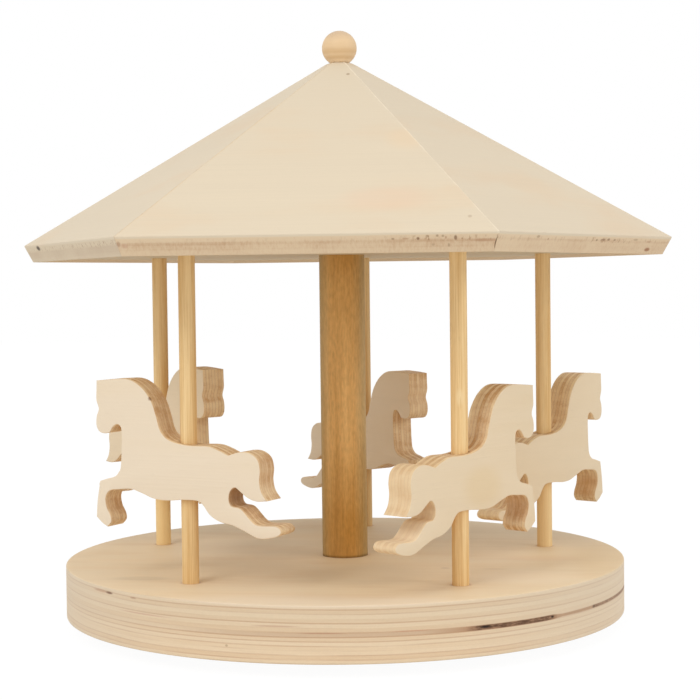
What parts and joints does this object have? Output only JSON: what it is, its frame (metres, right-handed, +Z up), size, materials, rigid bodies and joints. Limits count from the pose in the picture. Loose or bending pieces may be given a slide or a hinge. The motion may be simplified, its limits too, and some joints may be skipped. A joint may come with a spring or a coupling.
{
  "type": "carousel music box",
  "caption": "Bare plywood carousel on a round base: riding horses on dowels turn under a six-sided pitched roof with a ball on top, over a wind-up movement in the base.",
  "frame": {"origin": "centre of the underside of the foot's pads, on the surface that the part stands on", "axes": "+Z up along the centre column, -Y to the front, where two horses stand side by side under a straight eave, +X along the roof's longest diagonal"},
  "size_m": [0.235, 0.2071, 0.2117],
  "materials": {
    "base_plywood": "sanded, bare",
    "foot_wood": "sanded, bare",
    "ceiling_plywood": "sanded, bare",
    "roof_plywood": "sanded, bare",
    "horse_plywood": "sanded, bare",
    "dowel_wood": "smooth, bare",
    "column_wood": "smooth, oiled",
    "ball_wood": "smooth, bare",
    "rubber": "matt",
    "nylon": "matt",
    "plate_steel": "zinc plated",
    "spring_steel": "ground",
    "brass": "turned"
  },
  "bodies": {
    "foot": {"foot_plate": "foot_wood", "foot_pads": "rubber", "slip_ring": "nylon", "bedplate": "plate_steel", "movement_screws": "plate_steel", "spring_barrel": "brass", "barrel_cover": "brass", "mainspring": "spring_steel", "comb": "spring_steel", "comb_screws": "brass"},
    "carousel": {"base_disc": "base_plywood", "centre_column": "column_wood", "pole_1": "dowel_wood", "pole_2": "dowel_wood", "pole_3": "dowel_wood", "pole_4": "dowel_wood", "pole_5": "dowel_wood", "ceiling_plate": "ceiling_plywood", "roof_panel_1": "roof_plywood", "roof_panel_2": "roof_plywood", "roof_panel_3": "roof_plywood", "roof_panel_4": "roof_plywood", "roof_panel_5": "roof_plywood", "roof_panel_6": "roof_plywood", "finial_ball": "ball_wood", "finial_pin": "dowel_wood", "winding_arbor": "spring_steel", "retaining_clip": "spring_steel", "crown_wheel": "brass", "drive_hub": "brass", "hub_screws": "plate_steel"},
    "cylinder": {"pin_cylinder": "brass", "cylinder_arbor": "spring_steel", "cylinder_pinion": "brass", "worm_wheel": "brass"},
    "governor": {"governor_worm": "spring_steel", "governor_arbor": "spring_steel", "governor_fan": "brass"},
    "rider_1": {"horse_1": "horse_plywood"},
    "rider_2": {"horse_2": "horse_plywood"},
    "rider_3": {"horse_3": "horse_plywood"},
    "rider_4": {"horse_4": "horse_plywood"},
    "rider_5": {"horse_5": "horse_plywood"}
  },
  "joints": [
    {"name": "carousel_turn", "type": "hinge", "parent": "foot", "child": "carousel", "pos_m": [0, 0, 0], "axis": [0, 0, 1], "continuous": true},
    {"name": "cylinder_turn", "type": "hinge", "parent": "foot", "child": "cylinder", "pos_m": [0, 0, 0.0115], "axis": [1, 0, 0], "continuous": true},
    {"name": "governor_spin", "type": "hinge", "parent": "foot", "child": "governor", "pos_m": [0.03127, 0, 0.0075], "axis": [0, 1, 0], "continuous": true},
    {"name": "horse_1_turn", "type": "hinge", "parent": "carousel", "child": "rider_1", "pos_m": [-0.04455, -0.06132, 0.0398], "axis": [0, 0, 1], "continuous": true},
    {"name": "horse_2_turn", "type": "hinge", "parent": "carousel", "child": "rider_2", "pos_m": [0.04455, -0.06132, 0.0363], "axis": [0, 0, 1], "continuous": true},
    {"name": "horse_3_turn", "type": "hinge", "parent": "carousel", "child": "rider_3", "pos_m": [0.07209, 0.02342, 0.0368], "axis": [0, 0, 1], "continuous": true},
    {"name": "horse_4_turn", "type": "hinge", "parent": "carousel", "child": "rider_4", "pos_m": [0, 0.0758, 0.0363], "axis": [0, 0, 1], "continuous": true},
    {"name": "horse_5_turn", "type": "hinge", "parent": "carousel", "child": "rider_5", "pos_m": [-0.07209, 0.02342, 0.0408], "axis": [0, 0, 1], "continuous": true}
  ],
  "couplings": [
    {"joint": "cylinder_turn", "follows": "carousel_turn", "ratio": -4},
    {"joint": "governor_spin", "follows": "carousel_turn", "ratio": 80}
  ]
}
